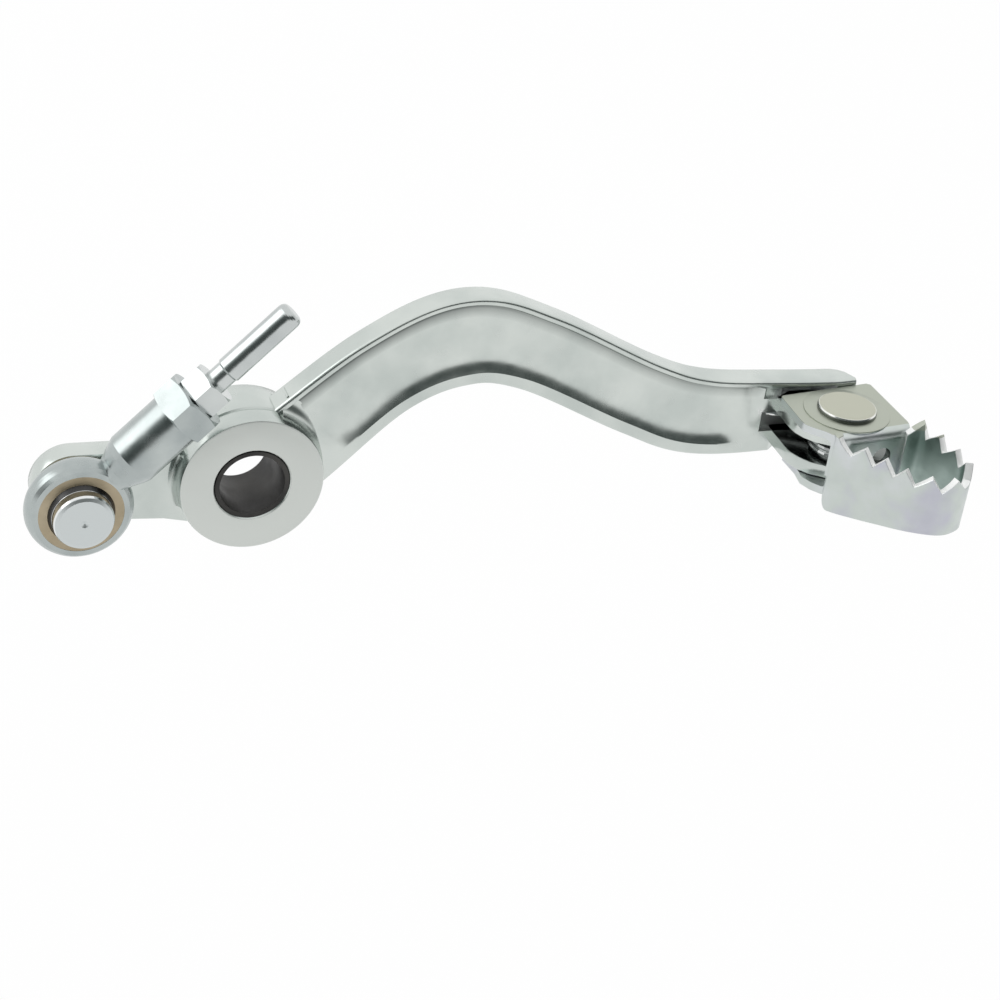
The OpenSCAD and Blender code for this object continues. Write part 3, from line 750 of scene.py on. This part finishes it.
class PEDAL_OT_rod(bpy.types.Operator):
    """Rod end, race, lock nut and push rod"""

    bl_idname = "pedal.rod"
    bl_label = "Rod end and push rod"

    def execute(self, context):
        nodes = frame["nodes"]
        g = context.scene.pedal_look.gloss
        bronze = plated("race_bronze", (0.36, 0.30, 0.20), (0.50, 0.43, 0.31), (0.35, 0.5), 0.9)
        wear(nodes["bearing_race"], bronze)
        forged = plated("zinc_rod_end", (0.36, 0.40, 0.40), (0.50, 0.54, 0.53),
                        (g * 0.8, g * 1.2), grain=0.3)
        wear(nodes["rod_end"], forged)
        bright = plated("zinc_bright", (0.50, 0.53, 0.53), (0.60, 0.63, 0.62), (g * 0.6, g),
                        grain=0.3)
        wear(nodes["lock_nut"], bright)
        wear(nodes["push_rod"], bright)
        return {"FINISHED"}


class PEDAL_OT_toe(bpy.types.Operator):
    """Folding toe piece and its pin"""

    bl_idname = "pedal.toe"
    bl_label = "Folding toe piece"

    def execute(self, context):
        # the sheet's extra colours: a painted shade on the tread's inner face and a painted
        # highlight on the tooth tops
        sheet = plated("zinc_sheet", (0.55, 0.56, 0.62), (0.65, 0.68, 0.69), (0.28, 0.42), grain=0.3,
                       tint=(0.59, 0.64, 0.61), painted_shade_colour=(0.36, 0.44, 0.41),
                       painted_light_colour=(0.90, 0.91, 0.90))
        zone(sheet, "Z", PLATE_TOP - 0.1, 0.42, (0.47, 0.50, 0.43))
        bracket = mesh_object("toe_bracket", *bent_sheet(), "toe")
        cut(bracket, "INTERSECT", *plate_plans())
        cut(bracket, "DIFFERENCE", *web_hole(), bevel=0.2)
        verts, faces, inner, rim = tread()
        wall = mesh_object("toe_tread", verts, faces, "toe", painted_shade=inner, painted_light=rim)
        disc = mesh_object("toe_pad", *pad(), "toe")
        for ob in (bracket, wall, disc):
            wear(ob, sheet)
            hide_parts("toe_piece")
        # pin head: a painted shade on its side, a painted highlight on its chamfer, and a khaki top
        # face
        pin = plated("pin_zinc", (0.10, 0.11, 0.10), (0.20, 0.21, 0.19), (0.25, 0.35), grain=0.4)
        zone(pin, "Z", PIN_TOP - PIN_CHAMFER, 0.18, (0.88, 0.89, 0.86))
        zone(pin, "Z", PIN_TOP - 0.22, 0.42, (0.53, 0.54, 0.45))
        wear(frame["nodes"]["toe_pin"], pin)
        return {"FINISHED"}


class PEDAL_OT_stage(bpy.types.Operator):
    """Floor, studio, light and the photograph's camera"""

    bl_idname = "pedal.stage"
    bl_label = "Stage"

    def execute(self, context):
        look = context.scene.pedal_look
        scene = context.scene
        scene.view_settings.view_transform = "Standard"
        self.world(scene, look)
        self.floor(look)
        self.lights(look)
        self.camera()
        return {"FINISHED"}

    def world(self, scene, look):
        """White studio, a dark panel in front and a bright box at the left, by ray direction.

        Each is a product of smooth steps in the direction's X, Y and Z. The camera sees plain white.
        """
        world = bpy.data.worlds.new("studio")
        scene.world = world
        world.use_nodes = True
        nt = world.node_tree
        new, link = nt.nodes.new, nt.links.new
        split = new("ShaderNodeSeparateXYZ")
        link(new("ShaderNodeTexCoord").outputs["Generated"], split.inputs["Vector"])
        rays = new("ShaderNodeLightPath")
        unseen = math_node(nt, "SUBTRACT", 1.0, rays.outputs["Is Camera Ray"])

        def step(axis, low, high):
            return map_node(nt, split.outputs[axis], (low, high), kind="SMOOTHSTEP")

        def times(a, b):
            return math_node(nt, "MULTIPLY", a, b)

        panel = times(step("Y", -0.1, -0.45), times(step("Z", -0.04, 0.10), step("Z", 0.72, 0.50)))
        shade = new("ShaderNodeValToRGB")
        shade.color_ramp.elements[0].color = (1, 1, 1, 1)
        shade.color_ramp.elements[1].color = (0.075, 0.088, 0.085, 1)
        link(times(panel, unseen), shade.inputs["Fac"])
        link(shade.outputs["Color"], nt.nodes["Background"].inputs["Color"])
        box = times(step("X", -0.55, -0.72), step("Z", 0.32, 0.48))
        gain = map_node(nt, times(box, unseen), target=(1.0, look.box_gain))
        link(gain, nt.nodes["Background"].inputs["Strength"])

    def floor(self, look):
        """Large pale sheet well below the pedal: white to camera and mirror rays but for shadow."""
        s, z = 6.0, -look.floor_drop
        me = bpy.data.meshes.new("floor")
        me.from_pydata([(-s, -s, z), (s, -s, z), (s, s, z), (-s, s, z)], [], [(0, 1, 2, 3)])
        ob = placed("floor", me)
        mat = bpy.data.materials.new("floor_pale")
        nt, bsdf, _ = principled(mat)
        new, link = nt.nodes.new, nt.links.new
        bsdf.inputs["Base Color"].default_value = (0.93, 0.93, 0.93, 1)
        bsdf.inputs["Roughness"].default_value = 0.9
        rays = new("ShaderNodeLightPath").outputs
        seen = math_node(nt, "MAXIMUM", rays["Is Camera Ray"], rays["Is Glossy Ray"])
        glow = new("ShaderNodeEmission")
        glow.inputs["Color"].default_value = (1, 1, 1, 1)
        mix = new("ShaderNodeMixShader")
        link(math_node(nt, "MULTIPLY", seen, 0.9), mix.inputs[0])
        link(bsdf.outputs["BSDF"], mix.inputs[1])
        link(glow.outputs["Emission"], mix.inputs[2])
        link(mix.outputs["Shader"], nt.nodes["Material Output"].inputs["Surface"])
        me.materials.append(mat)

    def lights(self, look):
        """Soft key from behind and above."""
        data = bpy.data.lights.new("key", "AREA")
        data.energy, data.size = look.key_power, 1.2
        ob = placed("key", data)
        ob.location = (0.1, 0.9, 1.1)
        aim = Vector((0.05, 0, 0)) - ob.location
        ob.rotation_euler = aim.to_track_quat("-Z", "Y").to_euler()
        ob.visible_glossy = False

    def camera(self):
        """Camera of the photograph, from its fitted angles, focal length and the pivot's place."""
        az, el, roll = (math.radians(v) for v in (CAM_AZ, CAM_EL, CAM_ROLL))
        right = Vector((math.cos(az), math.sin(az), 0))
        back = Vector((math.sin(az) * math.cos(el), -math.cos(az) * math.cos(el), math.sin(el)))
        up = back.cross(right)
        x = right * math.cos(roll) + up * math.sin(roll)
        y = -right * math.sin(roll) + up * math.cos(roll)
        dist = CAM_F / CAM_SCALE
        dx = (CAM_ORIGIN[0] - PICTURE / 2) / CAM_F * dist
        dy = -(CAM_ORIGIN[1] - PICTURE / 2) / CAM_F * dist
        data = bpy.data.cameras.new("photo")
        data.sensor_width = SENSOR
        data.lens = CAM_F / PICTURE * SENSOR
        data.clip_start = 0.01
        cam = placed("photo", data)
        place = Matrix.Translation((x * -dx + y * -dy + back * dist) * MM)
        cam.matrix_world = place @ Matrix((x, y, back)).transposed().to_4x4()
        bpy.context.scene.camera = cam


class PEDAL_PT_panel(bpy.types.Panel):
    """Buttons for each group of pieces"""

    bl_label = "Rear brake pedal"
    bl_idname = "PEDAL_PT_panel"
    bl_space_type = "VIEW_3D"
    bl_region_type = "UI"
    bl_category = "Pedal"

    def draw(self, context):
        look = context.scene.pedal_look
        for name in ("gloss", "key_power", "box_gain", "floor_drop"):
            self.layout.prop(look, name)
        for name in ("pedal.forging", "pedal.rod", "pedal.toe", "pedal.stage"):
            self.layout.operator(name)


CLASSES = (PedalLook, PEDAL_OT_forging, PEDAL_OT_rod, PEDAL_OT_toe, PEDAL_OT_stage, PEDAL_PT_panel)


def register():
    for c in CLASSES:
        bpy.utils.register_class(c)
    bpy.types.Scene.pedal_look = bpy.props.PointerProperty(type=PedalLook)


def unregister():
    del bpy.types.Scene.pedal_look
    for c in reversed(CLASSES):
        bpy.utils.unregister_class(c)


def main():
    register()
    bpy.ops.pedal.stage()
    bpy.ops.pedal.forging()
    bpy.ops.pedal.rod()
    bpy.ops.pedal.toe()


if __name__ == "__main__":
    main()
